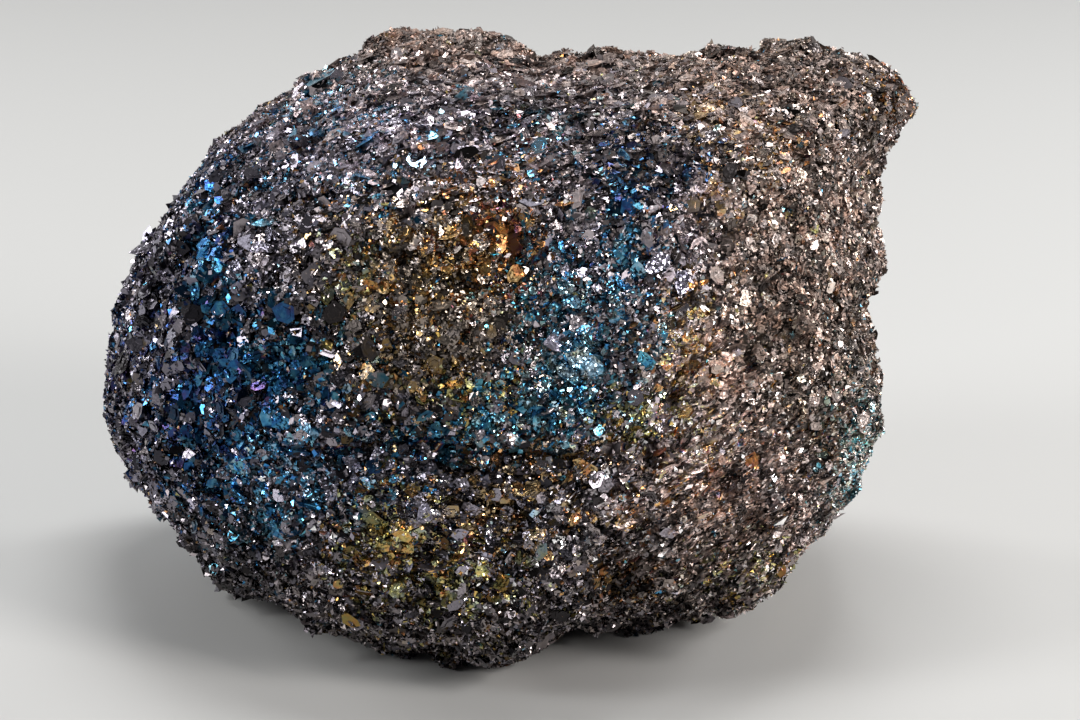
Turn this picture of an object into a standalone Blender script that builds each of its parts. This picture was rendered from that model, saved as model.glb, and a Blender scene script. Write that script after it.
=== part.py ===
"""Specular hematite specimen, a lump of grown-together flakes that rests on its flat underside.

One solid piece. Lengths in this script are millimetres until the mesh is made, which is in metres.
The body is laid out as it is seen from the front: u runs right, v runs up the view and depth runs away
from the viewer, who looks slightly down. Everything is then turned into the part's own frame, where +Y runs
away from the viewer, +Z is up and the origin is the centre of the box's underside.
"""
import math

import bmesh
import bpy
import numpy as np
from mathutils import Vector, noise

METRES = 0.001

# Driving dimensions
WIDTH = 120.0            # across the finished specimen
FRONT_BULGE = 37.0       # how far the front stands before the widest outline
BACK_BULGE = 46.0        # how far the back stands behind it
PLATEAU_HEIGHT = 86.0    # the back edge of the top's level stretch above the underside
PLATEAU_FALL = 0.09      # how steeply it falls towards the front
CENTRE_HEIGHT = 40.0     # the middle of the outline above the underside
VIEW_ELEVATION = math.radians(20.0)
VIEW_DISTANCE = 400.0    # from the viewer to the middle of the outline

BASE_FLATNESS = 0.1      # corners closer than this to the underside's level are on it

# The outline as seen from the front, clockwise from the left end, from its middle
OUTLINE = [
    (-60.4, -10.0), (-59.4, 2.5), (-57.4, 10.5), (-53.3, 18.6), (-47.2, 28.2), (-38.0, 38.6), (-26.8, 43.8),
    (-16.0, 49.2), (-7.5, 50.0), (0.5, 47.4), (6.3, 44.6), (13.0, 46.6), (22.0, 44.6), (32.0, 46.0),
    (41.0, 45.6), (51.5, 45.8), (59.2, 42.4), (61.0, 38.6), (58.4, 34.4), (55.6, 30.4), (55.2, 25.5),
    (55.6, 19.4), (56.0, 13.0), (54.4, 7.8), (56.0, 1.0), (57.0, -3.6), (55.6, -14.6), (50.4, -23.0),
    (44.2, -30.8), (36.8, -37.0), (30.0, -39.4), (20.0, -41.0), (7.6, -42.4), (0.4, -47.2), (-7.0, -47.2),
    (-17.0, -45.6), (-29.6, -40.4), (-37.0, -35.4), (-44.0, -33.0), (-47.4, -29.6), (-53.4, -23.4),
    (-57.8, -18.0),
]
RELIEF_ALLOWANCE = 1.0   # how much further out the relief reaches than the plain body
OUTLINE_BLUR = 0.45      # radians over which the outline's corners are evened out on the front and the back
SHARP_TO = 0.25          # the share of the way to the middle of the front or back that keeps the corners
ROUND_FROM = 0.85        # the share of the way where they have gone

# How the widest outline leans: away from the viewer upwards and to the left, and at both ends
LEAN_UP = 0.27
LEAN_RIGHT = -0.14
LEAN_ENDS = 0.0016
BACK_LEAN_UP = -0.36     # the back wall stands upright
SECTION_POWER = 2.6      # 2 is a round section, more is boxier
EDGE_ROUNDING = 5.0      # of the plateau's front edge
BACK_EDGE = 28.0         # how far behind the middle the plateau's back edge lies

# Body mesh: each of an icosahedron's 20 faces is parted into (SPLITS + 1) squared triangles, and the
# finished surface is then reduced, which leaves few large triangles where it is flat
SPLITS = 57
TRIANGLES = 9600

# Swellings, hollows and pits of the front: (u, v, radius, height), a minus height is a hollow
FORMS = [
    (10.0, -2.0, 15.0, -1.8),     # broad hollow in the middle of the face
    (-12.0, -26.0, 18.0, 1.4),    # swelling below the ledge
    (34.0, 22.0, 14.0, 1.0),      # swelling of the right shoulder
    (-38.0, 14.0, 13.0, 1.0),     # swelling of the left bulge
    (-27.0, 3.0, 3.2, -2.2),      # pocket left of the middle
    (-30.0, 35.0, 3.2, -2.6),     # notch at the top left
    (17.5, -34.5, 5.0, -3.2),     # cavity low down on the right
    (34.0, -21.0, 2.6, -1.8),     # hole in the layered part
    (0.5, -30.5, 2.6, -1.8),      # hole in the swelling
    (-10.0, 31.0, 3.0, -1.8),     # pockets under the plateau's edge
    (-1.0, 33.5, 3.0, -2.0),
    (12.0, 36.0, 3.4, -2.0),
    (22.0, 30.0, 4.5, -1.8),      # dark dip right of the middle
]
# Cracks and ledges as seen from the front: points, depth of the groove, and drop of the side below it
CREASES = [
    ([(-27.0, -14.5), (-14.0, -13.0), (-2.0, -15.0), (10.0, -15.5), (20.0, -14.5), (31.0, -11.5)], 2.6, 1.4),
    ([(16.0, -21.0), (24.0, -16.0), (33.0, -13.5), (44.0, -12.0)], 1.8, 0.9),
    ([(27.5, 30.0), (28.5, 18.0), (26.0, 8.0), (28.0, -4.0), (25.0, -10.0)], 1.4, 0.0),
    ([(28.0, 19.0), (36.0, 18.0), (44.0, 19.5)], 1.3, 0.3),
    ([(34.0, 10.5), (42.0, 11.0), (51.0, 10.0)], 1.3, 0.3),
    ([(42.0, -12.0), (47.0, -11.0), (54.0, -13.0)], 1.2, 0.3),
    ([(-31.0, 30.5), (-18.0, 29.5), (-6.0, 27.0), (6.0, 28.5)], 1.2, 0.4),
]
FRONT_END = 4.0          # the depth at which the forms and cracks of the front have faded out
FRONT_FADE = 16.0
CREASE_WIDTH = 1.6
CREASE_REACH = 9.0       # how far below a crease its drop fades out

# Crystals: the surface is parted into cells, each a flat face with its own tilt and height
CRYSTAL_SIZE = 6.6
CRYSTAL_TILT = 0.42
CRYSTAL_STEP = 0.9
CRYSTAL_FLATTENING = 1.35  # how much thinner a crystal is across the layering than along it
PROUD_ABOVE = 0.28       # cells whose random height is over this stand out further, as large plates
PROUD_HEIGHT = 0.9

# Layering: the lower right is built of slabs that rise to the right
LAYER_PITCH = 6.0
LAYER_STEP = 1.5
LAYER_WANDER = 3.0       # how far the slabs wave
LAYER_WAVE = 15.0
LAYER_SLOPE = math.radians(34.0)
LAYER_TURN = 0.25        # how far the slabs also tip towards the back
LAYER_CENTRE = (35.0, -22.0)
LAYER_REACH = 26.0

# Lumps all over, which also shape the sides and the back
LUMP_SIZES = ((24.0, 1.7), (11.0, 1.3))

# Where the noises are read, so that they have nothing in common
NOISE_SHIFTS = (Vector((0.0, 0.0, 0.0)), Vector((41.3, 17.9, 5.1)), Vector((9.7, 63.1, 28.3)))
LUMP_SHIFTS = (Vector((0.0, 7.0, 3.0)), Vector((31.0, 7.0, 3.0)))
TILT_SCATTER = 3.7
STEP_SCATTER = 5.3

BLUR_STEPS = 7
TINY = 1e-6


def outline_polar():
    """The outline's points as angles that rise from -pi to pi and radii."""
    angles = np.array([math.atan2(v, u) for u, v in OUTLINE])
    radii = np.array([math.hypot(u, v) for u, v in OUTLINE]) - RELIEF_ALLOWANCE
    order = np.argsort(angles)
    return angles[order], radii[order]


def outline_radius(angle, angles, radii):
    """Radius of the smooth closed curve through the outline's points, at any angle."""
    count = len(angles)
    after = int(np.searchsorted(angles, angle)) % count
    index = [(after + shift) % count for shift in (-2, -1, 0, 1)]
    knots = [angles[i] for i in index]
    for side in (1, 2, 3):
        while knots[side] < knots[side - 1]:
            knots[side] += 2.0 * math.pi
    while angle < knots[1]:
        angle += 2.0 * math.pi
    span = knots[2] - knots[1]
    part = (angle - knots[1]) / span
    slope_in = (radii[index[2]] - radii[index[0]]) / (knots[2] - knots[0]) * span
    slope_out = (radii[index[3]] - radii[index[1]]) / (knots[3] - knots[1]) * span
    square, cube = part * part, part * part * part
    return ((2 * cube - 3 * square + 1) * radii[index[1]] + (cube - 2 * square + part) * slope_in
            + (3 * square - 2 * cube) * radii[index[2]] + (cube - square) * slope_out)


def rounded_radius(angle, angles, radii):
    """The outline's radius with its corners evened out."""
    turns = np.linspace(-OUTLINE_BLUR, OUTLINE_BLUR, BLUR_STEPS)
    wrapped = [math.remainder(angle + turn, 2.0 * math.pi) for turn in turns]
    return sum(outline_radius(turn, angles, radii) for turn in wrapped) / len(turns)


def soft_minimum(value, limit, rounding):
    """The lesser of the two, with the corner between them rounded."""
    blend = max(rounding - abs(value - limit), 0.0) / rounding
    return min(value, limit) - blend * blend * rounding * 0.25


def to_part_frame(u, v, depth):
    """A point as seen from the front, put at its depth and turned into the part's frame."""
    swell = 1.0 + depth / VIEW_DISTANCE
    across = u * swell
    up = v * swell
    sine, cosine = math.sin(VIEW_ELEVATION), math.cos(VIEW_ELEVATION)
    return Vector((across, depth * cosine + up * sine, CENTRE_HEIGHT - depth * sine + up * cosine))


def as_seen(point):
    """The reverse of to_part_frame: where a point of the part is seen, and its depth."""
    sine, cosine = math.sin(VIEW_ELEVATION), math.cos(VIEW_ELEVATION)
    height = point.z - CENTRE_HEIGHT
    depth = point.y * cosine - height * sine
    up = point.y * sine + height * cosine
    swell = 1.0 + depth / VIEW_DISTANCE
    return point.x / swell, up / swell, depth


def body_point(direction, angles, radii):
    """Where the plain body, without its relief, lies in a direction from its middle."""
    ring = math.hypot(direction.x, direction.z)
    pole = abs(direction.y)
    angle = math.atan2(direction.z, direction.x)
    sharp = outline_radius(angle, angles, radii)
    roundness = min(max((pole - SHARP_TO) / (ROUND_FROM - SHARP_TO), 0.0), 1.0)
    radius = sharp + (rounded_radius(angle, angles, radii) - sharp) * roundness
    reach = radius * ring ** (2.0 / SECTION_POWER) / max(ring, TINY)
    u = reach * direction.x
    v = reach * direction.z
    lean = (LEAN_UP * v + LEAN_RIGHT * u + LEAN_ENDS * u * u) * (1.0 - pole)
    if direction.y > 0.0:
        depth = lean + BACK_LEAN_UP * v * pole + BACK_BULGE * pole ** (2.0 / SECTION_POWER)
    else:
        depth = lean - FRONT_BULGE * pole ** (2.0 / SECTION_POWER)
    point = to_part_frame(u, v, depth)
    limit = PLATEAU_HEIGHT + PLATEAU_FALL * min(point.y - BACK_EDGE, 0.0)
    point.z = soft_minimum(point.z, limit, EDGE_ROUNDING)
    return point


def front_share(depth):
    """1 on the face seen from the front, fading to 0 round the sides."""
    return min(max((FRONT_END - depth) / FRONT_FADE, 0.0), 1.0)


def form_height(u, v):
    """Named swellings, hollows and pits of the front."""
    total = 0.0
    for centre_u, centre_v, radius, height in FORMS:
        distance = math.hypot(u - centre_u, v - centre_v) / radius
        total += height * math.exp(-distance * distance)
    return total


def crease_height(u, v):
    """Cracks, with the side below each one set back."""
    total = 0.0
    for points, groove, drop in CREASES:
        below, distance = crease_distance(u, v, points)
        total -= groove * math.exp(-(distance / CREASE_WIDTH) ** 2)
        if below:
            total -= drop * math.exp(-(distance / CREASE_REACH) ** 2)
    return total


def crease_distance(u, v, points):
    """Whether a point lies below a line of points, and how far it is from the line."""
    spot = Vector((u, v))
    nearest, below = math.inf, False
    for start, end in zip(points, points[1:]):
        start, end = Vector(start), Vector(end)
        along = end - start
        share = min(max((spot - start).dot(along) / along.length_squared, 0.0), 1.0)
        foot = start + along * share
        if (spot - foot).length < nearest:
            nearest = (spot - foot).length
            below = spot.y < foot.y
    return below, nearest


def layer_normal():
    """The direction across the slabs of the lower right."""
    return Vector((-math.sin(LAYER_SLOPE), LAYER_TURN, math.cos(LAYER_SLOPE))).normalized()


def layer_height(point, u, v):
    """Slabs that stand out one over the other in the lower right."""
    share = math.exp(-((u - LAYER_CENTRE[0]) ** 2 + (v - LAYER_CENTRE[1]) ** 2) / LAYER_REACH ** 2)
    wander = noise.noise(point / LAYER_WAVE) * LAYER_WANDER
    phase = (point.dot(layer_normal()) + wander) / LAYER_PITCH
    saw = phase - math.floor(phase)
    return share * LAYER_STEP * (saw - 0.5)


def noise_vector(point):
    """Three noises that have nothing in common, as a vector."""
    return Vector([noise.noise(point + shift) for shift in NOISE_SHIFTS])


def crystal_height(point):
    """Flat faces of crystals, each cell with its own tilt and height."""
    across = layer_normal()
    squeezed = (point + across * point.dot(across) * (CRYSTAL_FLATTENING - 1.0)) / CRYSTAL_SIZE
    seed = noise.voronoi(squeezed)[1][0]
    tilt = noise_vector(seed * TILT_SCATTER)
    step = noise.noise(seed * STEP_SCATTER)
    height = CRYSTAL_SIZE * CRYSTAL_TILT * tilt.dot(squeezed - seed) + CRYSTAL_STEP * step
    return height + (PROUD_HEIGHT if step > PROUD_ABOVE else 0.0)


def lump_height(point):
    """Rolling lumps of two sizes."""
    total = 0.0
    for (size, height), shift in zip(LUMP_SIZES, LUMP_SHIFTS):
        total += height * noise.noise(point / size + shift)
    return total


def relief(point):
    """How far the surface stands out from the plain body at a point of it."""
    u, v, depth = as_seen(point)
    facing = front_share(depth)
    height = lump_height(point) + crystal_height(point) + layer_height(point, u, v)
    return height + facing * (form_height(u, v) + crease_height(u, v))


def netted_ball():
    """An evenly netted ball."""
    net = bmesh.new()
    bmesh.ops.create_icosphere(net, subdivisions=1, radius=1.0)
    bmesh.ops.subdivide_edges(net, edges=net.edges[:], cuts=SPLITS, use_grid_fill=True)
    bmesh.ops.triangulate(net, faces=net.faces[:])
    for corner in net.verts:
        corner.co.normalize()
    return net


def full_surface():
    """The specimen's surface in full detail, in millimetres, cut off flat below."""
    angles, radii = outline_polar()
    net = netted_ball()
    for corner in net.verts:
        corner.co = body_point(corner.co, angles, radii)
    net.normal_update()
    places = [corner.co + corner.normal * relief(corner.co) for corner in net.verts]
    for corner, place in zip(net.verts, places):
        place.z = max(place.z, 0.0)
        corner.co = place
    bmesh.ops.recalc_face_normals(net, faces=net.faces[:])
    mesh = bpy.data.meshes.new("full_surface")
    net.to_mesh(mesh)
    net.free()
    return mesh


def reduced(mesh):
    """The same surface in about as many triangles as TRIANGLES says."""
    guide = bpy.data.objects.new("full_surface", mesh)
    bpy.context.scene.collection.objects.link(guide)
    reducer = guide.modifiers.new("facets", "DECIMATE")
    reducer.ratio = TRIANGLES / len(mesh.polygons)
    seen = guide.evaluated_get(bpy.context.evaluated_depsgraph_get())
    result = bpy.data.meshes.new_from_object(seen)
    bpy.data.objects.remove(guide)
    return result


def settle(mesh):
    """Flattens the underside, scales to the width in metres and puts the box's middle over the origin."""
    net = bmesh.new()
    net.from_mesh(mesh)
    places = np.array([corner.co[:] for corner in net.verts])
    lowest, highest = places.min(axis=0), places.max(axis=0)
    scale = WIDTH / (highest[0] - lowest[0]) * METRES
    middle = Vector((lowest + highest) / 2.0)
    middle.z = 0.0
    for corner in net.verts:
        if corner.co.z < BASE_FLATNESS:
            corner.co.z = 0.0
        corner.co = (corner.co - middle) * scale
    bmesh.ops.triangulate(net, faces=net.faces[:])
    net.to_mesh(mesh)
    net.free()
    mesh.name = "hematite_mass"
    return mesh


def hematite_material():
    """Dark steel-grey ore with a bright metallic gloss."""
    material = bpy.data.materials.new("hematite")
    material.use_nodes = True
    shader = material.node_tree.nodes["Principled BSDF"]
    shader.inputs["Base Color"].default_value = (0.16, 0.15, 0.16, 1.0)
    shader.inputs["Metallic"].default_value = 0.9
    shader.inputs["Roughness"].default_value = 0.35
    return material


def main():
    for thing in list(bpy.data.objects):
        bpy.data.objects.remove(thing)
    mesh = settle(reduced(full_surface()))
    mesh.materials.append(hematite_material())
    specimen = bpy.data.objects.new("hematite_mass", mesh)
    bpy.context.scene.collection.objects.link(specimen)


main()
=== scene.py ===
"""Looks of the specular hematite specimen.

A dark granular ground follows the solid's surface, and crystals grow out of it: large stepped plates, flakes,
chips and small grains, each closed and flat-faced. Lengths are millimetres unless a comment says metres, and
become metres when a mesh is made. A zone on the front is placed as it is seen there: u runs right and v up from
the middle of the view.
"""

import math
from collections import namedtuple

import bmesh
import bpy
import numpy as np
from mathutils import Euler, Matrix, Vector, noise
from mathutils.kdtree import KDTree


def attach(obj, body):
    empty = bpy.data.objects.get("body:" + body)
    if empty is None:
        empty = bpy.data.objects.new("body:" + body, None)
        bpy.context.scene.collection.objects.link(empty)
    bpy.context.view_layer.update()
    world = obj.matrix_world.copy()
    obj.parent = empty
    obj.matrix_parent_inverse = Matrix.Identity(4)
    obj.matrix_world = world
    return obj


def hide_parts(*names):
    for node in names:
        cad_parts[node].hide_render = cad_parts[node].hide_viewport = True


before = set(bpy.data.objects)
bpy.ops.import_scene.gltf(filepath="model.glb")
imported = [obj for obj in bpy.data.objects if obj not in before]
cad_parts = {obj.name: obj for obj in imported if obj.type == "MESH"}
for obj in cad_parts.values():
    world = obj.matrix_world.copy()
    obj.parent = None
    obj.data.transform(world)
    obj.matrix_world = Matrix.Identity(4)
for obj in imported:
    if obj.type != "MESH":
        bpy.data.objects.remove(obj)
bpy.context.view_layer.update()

METRES = 0.001           # in one millimetre
SEED = 7
NODE = "hematite_mass"
BODY = "root"
TINY = 1e-9              # keeps a divisor away from zero
WELD = 1e-6              # corners nearer than this are one, in metres

# The view of the front
VIEW_ELEVATION = math.radians(20.0)
VIEW_MIDDLE = np.array([1.3, 8.6, 35.8])   # the point that is seen at u = v = 0
VIEW_DISTANCE = 396.5                      # from the camera to it
AWAY = np.array([0.0, math.cos(VIEW_ELEVATION), -math.sin(VIEW_ELEVATION)])
UPWARD = np.array([0.0, math.sin(VIEW_ELEVATION), math.cos(VIEW_ELEVATION)])

# Camera, with its lens in millimetres and the rest in metres
CAMERA_LENS = 90.0
CAMERA_TARGET = Vector((0.0059, 0.0, 0.0361))
CAMERA_DISTANCE = 0.388

# Soft boxes in metres: name, place, width, height, power in watts, colour
NEUTRAL = (1.0, 1.0, 1.0)
WARM = (1.0, 0.96, 0.93)
SOFT_BOXES = [
    ("left_box", (-0.62, -0.22, 0.40), 0.20, 0.32, 2.5, NEUTRAL),
    ("right_box", (0.58, -0.38, 0.42), 0.20, 0.32, 4.6, WARM),
    ("top_box", (0.05, 0.14, 0.74), 0.40, 0.24, 3.2, NEUTRAL),
    ("left_rim_box", (-0.60, 0.34, 0.28), 0.14, 0.34, 1.9, NEUTRAL),
    ("right_rim_box", (0.62, 0.30, 0.26), 0.16, 0.36, 2.8, NEUTRAL),
    ("back_box", (0.0, 0.85, 0.50), 1.30, 0.50, 1.5, NEUTRAL),
]
LIT_POINT = Vector((0.0, 0.0, 0.04))
SURROUND_COLOUR = (0.9, 0.93, 1.0, 1.0)
SURROUND_STRENGTH = 0.08

# Floor, in metres
FLOOR_SIZE = 6.0
FLOOR_COLOUR = (0.52, 0.52, 0.51, 1.0)
FLOOR_ROUGHNESS = 0.6

# A pattern of smooth noise: its size, and how far it is shifted, so that no two patterns are alike
Pattern = namedtuple("Pattern", "size shift")
SHIFT_WAY = Vector((1.0, -1.0, 0.5))   # the direction of every shift

# Ground
GROUND_VOXEL = 1.0
GROUND_SINK = 0.35       # how far the ground lies below the solid's surface
GROUND_LUMPS = Pattern(1.3, 2.0)
GROUND_RELIEF = 0.32     # height of its lumps
GROUND_ROUGHNESS = 0.12  # how far each of its corners stands out or back besides
RESTING_BELOW = 0.5      # it has no relief lower than this, next to what the specimen rests on

# Crystals of one build. corners are those of the rim, rings are (height, scale) pairs in radii from the flat top
# down to the rim, depth is how far the point underneath lies, in radii, radius is the usual one and spread how
# much it varies, spacing is the room that each one keeps, in radii, tilt is how far they lean at random, lift is
# the range that they stand above the surface, and response is how much their size follows GRAIN_SIZES.
Kind = namedtuple("Kind", "corners rings depth radius spread spacing tilt lift response")
STEPPED = ((0.10, 0.56), (0.0, 0.62), (0.0, 1.0))
FLAT = ((0.0, 1.0),)
PLATE = Kind(6, STEPPED, 0.8, 1.15, 0.24, 2.5, 0.20, (0.0, 0.30), 1.0)
FLAKE = Kind(6, FLAT, 0.8, 0.82, 0.26, 1.15, 0.30, (-0.15, 0.20), 1.0)
CHIP = Kind(4, FLAT, 0.9, 0.42, 0.28, 1.27, 0.50, (0.0, 0.30), 0.5)
GRAIN = Kind(3, FLAT, 1.0, 0.28, 0.25, 1.38, 0.75, (0.05, 0.40), 0.3)
SINGLE = Kind(6, STEPPED, 0.8, 1.0, 0.0, 1.0, 0.12, (0.30, 0.50), 0.0)
# Plates of painted shade for the pockets and ledges of the top
SHADOW_PLATE = Kind(7, FLAT, 0.6, 1.0, 0.0, 1.0, 0.20, (0.0, 0.20), 0.0)
KINDS = (PLATE, FLAKE, CHIP, GRAIN)
CROWDING = 2.8           # points tried for each square as wide as the usual spacing
CLEARING = 1.7           # how much fewer small crystals there are where the rock is coarse
SPOTS_TRIED = 60000      # points among which each single crystal finds the nearest to its place
FAR_OFF = 1e6            # what is added to the distance of a point that isn't seen
LARGEST_RADIUS = 1.8     # of the strewn crystals
LOWEST = 0.02            # no corner of a crystal is lower than this above what the specimen rests on
UNDERSIDE = 0.3          # nothing grows on the flat underside, which is what is lower than this
BACK_THINNING = 0.22     # how much further apart the crystals stand on the back
RIM_STRAY = 0.26         # how far the corners stray along the rim, as a share of their step
RIM_REACH = (0.80, 1.12)   # how far out they lie, in radii
POINT_STRAY = 0.2        # how far the point underneath strays, in radii

PIECE_TRIANGLES = 190000   # the most triangles in one piece; allowed in one piece

# Baking map. Each crystal has a square of its own, in which its upper side fills a rectangle of this size from
# this corner, and its underside the same further right. The square's half side stands for a length in radii.
BAKED_SIZE = np.array([0.44, 0.92])
BAKED_CORNER = np.array([0.03, 0.04])
BAKED_UNDERSIDE = 0.50
PLAN_REACH = 2.6

# Rock in thin sheets: (u, v, reach across, reach up, how steeply the sheets rise to the right in degrees, how
# far they turn away from the view, share of their crystals that face down, share that lie along them)
LAYERS = [
    (35.0, -22.0, 23.0, 23.0, 34.0, 0.25, 0.35, 0.85),   # slabs of the lower right
    (4.0, 34.0, 44.0, 13.0, 14.0, 0.0, 0.0, 0.60),       # bedding of the top
    (-10.0, -29.0, 24.0, 13.0, -6.0, 0.0, 0.15, 0.36),   # lower swelling
]
LAYERED_OUT = 0.50       # how much they face outwards besides
LAYERED_TILT = 0.70      # how far they lean at random, as a share of what the others do
LAYERED_DEPTH = 0.4      # how deep they reach, in the same way
LAYERED_STRAY = 0.12     # how far their length strays from the direction of the sheet
LAYERED_FRONT = 2.0      # how far round to the sides there are sheets
LAYERED_STRETCH = (1.1, 1.7)   # how much longer they are along the sheet than they are wide, as a square root
OTHER_STRETCH = (1.0, 1.3)
LAMINA = 1.1             # thickness of the sheets
LAMINAE = Pattern(14.0, 41.0)   # how far they stay alike along themselves
LAMINA_TONE = 0.6        # how much light and dark sheets differ
LAMINA_RELIEF = 0.65     # and how far they stand out or back

# Relief finer than the solid's: lumps, and cracks that run roughly level
LUMPS = Pattern(3.0, 61.0)
LUMP_RELIEF = 0.35
CRACKS = Pattern(16.0, 71.0)
CRACK_SPACING = 5.0
CRACK_WIDTH = 0.10       # as a share of the noise that they follow
CRACK_DEPTH = 1.3
# painted shade that darkens the crystals in the cracks
CRACK_PAINTED_SHADE = 0.7
# Patches of the rock that have cracks, how sharply they end and how much they outweigh the rest
CRACKED = Pattern(16.0, 83.0)
CRACKED_CONTRAST = 2.5
CRACKED_MORE = 0.2

# Colours of the oxide film in order of its thickness: place on the scale, colour
FILM_COLOURS = [
    (0.00, (0.36, 0.35, 0.36)),   # bare, steel grey
    (0.08, (0.44, 0.38, 0.29)),   # straw
    (0.15, (0.49, 0.37, 0.16)),   # gold
    (0.23, (0.53, 0.25, 0.09)),   # copper
    (0.33, (0.26, 0.11, 0.16)),   # magenta
    (0.44, (0.09, 0.08, 0.20)),   # violet
    (0.51, (0.04, 0.09, 0.25)),   # indigo
    (0.58, (0.03, 0.18, 0.36)),   # azure
    (0.66, (0.10, 0.36, 0.47)),   # cyan
    (0.74, (0.32, 0.48, 0.53)),   # pale blue-green
    (0.81, (0.40, 0.48, 0.38)),   # silver-green
    (0.88, (0.44, 0.45, 0.17)),   # yellow-green
    (0.95, (0.58, 0.40, 0.12)),   # second gold
    (1.00, (0.56, 0.28, 0.11)),   # second copper
]
# What the metallic colours are multiplied by where they are coolest and where they are warmest
COOLEST = (0.92, 0.91, 1.12, 1.0)
WARMEST = (1.20, 1.02, 0.80, 1.0)
# Matte rock: its dark and light specks and their size, and what it is multiplied by outside and inside its rusty
# spots and their size
MATTE_DARK = (0.127, 0.092, 0.080, 1.0)
MATTE_LIGHT = (0.695, 0.583, 0.535, 1.0)
SPECK_SIZE = 0.35
UNCHANGED = (1.0, 1.0, 1.0, 1.0)
RUSTY = (1.20, 0.91, 0.76, 1.0)
RUST_SIZE = 2.4
SPECK_DETAIL = 2.0
SPECK_RANGE = (0.32, 0.68)   # the range of noise that a speckle draws out to 0 and 1

# Grain of the crystal faces: size and detail, and how far it moves the film's colour on its scale
FINE_GRAIN = (0.5, 3.0)
FINE_STRAY = 0.16
BROAD_GRAIN = (1.8, 1.0)
BROAD_STRAY = 0.30
LEAST_FILM = 0.01        # a crystal with no more film than this is bare
MOTTLING = 0.7           # how much brightness the fine grain adds where it is strongest
MOTTLED_LEAST = 0.65     # and the brightness where it is weakest
METALLIC = 0.96          # of the metallic crystals
METALLIC_LOSS = 0.45     # how much less metallic the matte rock is
GLOSSY_ROUGHNESS = 0.15  # of the crystals that are least satin
SATIN_ROUGHNESS = 0.20   # how much rougher the most satin ones are
# Brightness, and how much rougher the matte rock is, of the crystals and of the ground
CRYSTAL_LOOK = (1.0, 0.3)
GROUND_LOOK = (0.35, 0.4)
MIDDLE = 0.5             # of a scale or of noise from 0 to 1
MIX_INPUTS = (0, 6, 7)   # sockets of a Mix node for its share and its two colours
MIX_OUTPUT = 2           # and for the colour that it gives

# Tarnished zones of the front: (u, v, reach across, reach up, place on the film scale, share of its crystals)
TARNISH = [
    (-54.0, -3.2, 8.0, 14.0, 0.50, 0.28),    # dark left end
    (-45.0, -8.0, 6.0, 9.0, 0.54, 0.50),
    (-36.5, -1.5, 8.0, 7.0, 0.58, 0.68),     # blue left of the middle
    (-30.0, -5.5, 7.5, 5.0, 0.62, 0.66),
    (-36.0, -17.8, 8.0, 7.5, 0.65, 0.60),    # cyan below it
    (-46.0, -19.0, 6.0, 7.0, 0.61, 0.34),
    (-24.0, -20.0, 7.0, 6.0, 0.65, 0.40),
    (-34.5, -26.5, 6.0, 5.0, 0.65, 0.42),
    (-43.8, 18.5, 4.0, 9.0, 0.60, 0.54),     # blue streak up the left
    (-43.0, 8.0, 4.5, 6.0, 0.60, 0.42),
    (-20.6, 21.8, 6.0, 3.5, 0.65, 0.42),     # pale blues of the upper left
    (-27.2, 33.0, 6.0, 6.0, 0.66, 0.40),
    (-36.0, 26.0, 6.0, 6.0, 0.62, 0.20),
    (-10.0, 28.0, 14.0, 5.0, 0.72, 0.11),
    (7.0, 30.0, 11.0, 5.0, 0.69, 0.18),
    (-0.5, 15.5, 5.5, 9.5, 0.22, 0.70),      # amber patch above the middle
    (-12.6, -3.2, 12.0, 7.5, 0.12, 0.36),    # gold-brown left of the middle
    (-17.0, -6.5, 4.5, 4.0, 0.13, 0.36),
    (-8.0, -7.5, 8.0, 4.0, 0.90, 0.45),
    (-17.0, 12.3, 10.0, 9.0, 0.13, 0.34),
    (-8.0, 14.0, 8.0, 9.0, 0.17, 0.30),
    (-22.0, 9.0, 4.0, 6.0, 0.84, 0.38),
    (9.7, 2.0, 8.0, 10.0, 0.68, 0.56),       # blue-grey pool of the middle
    (9.2, -5.7, 7.0, 7.0, 0.70, 0.64),
    (3.5, 9.3, 5.0, 5.0, 0.62, 0.32),
    (18.0, 9.0, 5.0, 8.0, 0.65, 0.34),
    (2.0, -11.0, 9.0, 4.5, 0.66, 0.68),      # teal band under the gold
    (-12.0, -15.0, 10.0, 4.0, 0.64, 0.60),
    (20.5, 26.5, 6.5, 5.5, 0.55, 0.40),      # indigo dip on the right
    (17.0, 20.0, 3.0, 8.0, 0.59, 0.52),
    (27.0, 0.5, 4.0, 9.5, 0.15, 0.58),       # golden rim of the pool
    (29.0, 33.5, 4.0, 4.0, 0.12, 0.50),
    (31.6, 21.8, 3.2, 6.0, 0.13, 0.42),
    (20.2, -11.6, 5.5, 4.0, 0.87, 0.55),
    (4.5, -18.6, 9.0, 4.5, 0.15, 0.60),      # gold ledge
    (-18.4, -28.6, 6.0, 6.5, 0.91, 0.70),    # gold and green of the lower swelling
    (-3.7, -26.4, 9.0, 6.0, 0.15, 0.62),
    (-8.9, -36.4, 12.0, 7.0, 0.90, 0.50),
    (16.8, -35.2, 5.0, 3.5, 0.20, 0.60),     # orange cavity
    (17.5, -25.2, 3.5, 3.0, 0.20, 0.40),
    (27.1, -19.3, 8.0, 6.0, 0.19, 0.18),
    (51.0, -17.1, 4.5, 9.0, 0.71, 0.60),     # cyan glitter of the lower right rim
    (38.0, -34.0, 8.0, 4.5, 0.85, 0.38),
    (38.8, 28.4, 6.0, 4.0, 0.20, 0.28),
    (57.2, 36.5, 5.0, 5.0, 0.20, 0.40),      # brown beak
]
TARNISH_SHARE = 0.87     # what the shares above are multiplied by
TARNISH_PATCHES = Pattern(2.6, 5.0)
TARNISH_PATCHINESS = 0.8   # how much the shares rise and fall from patch to patch
FILM_SPREAD = 0.04       # how much the film differs from crystal to crystal
FILM_DRIFT = Pattern(4.5, 17.0)
FILM_WANDER = 0.05       # and from place to place
STRAY_TARNISH = 0.04     # share of tarnished ones among the small crystals that no zone tarnishes
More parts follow.
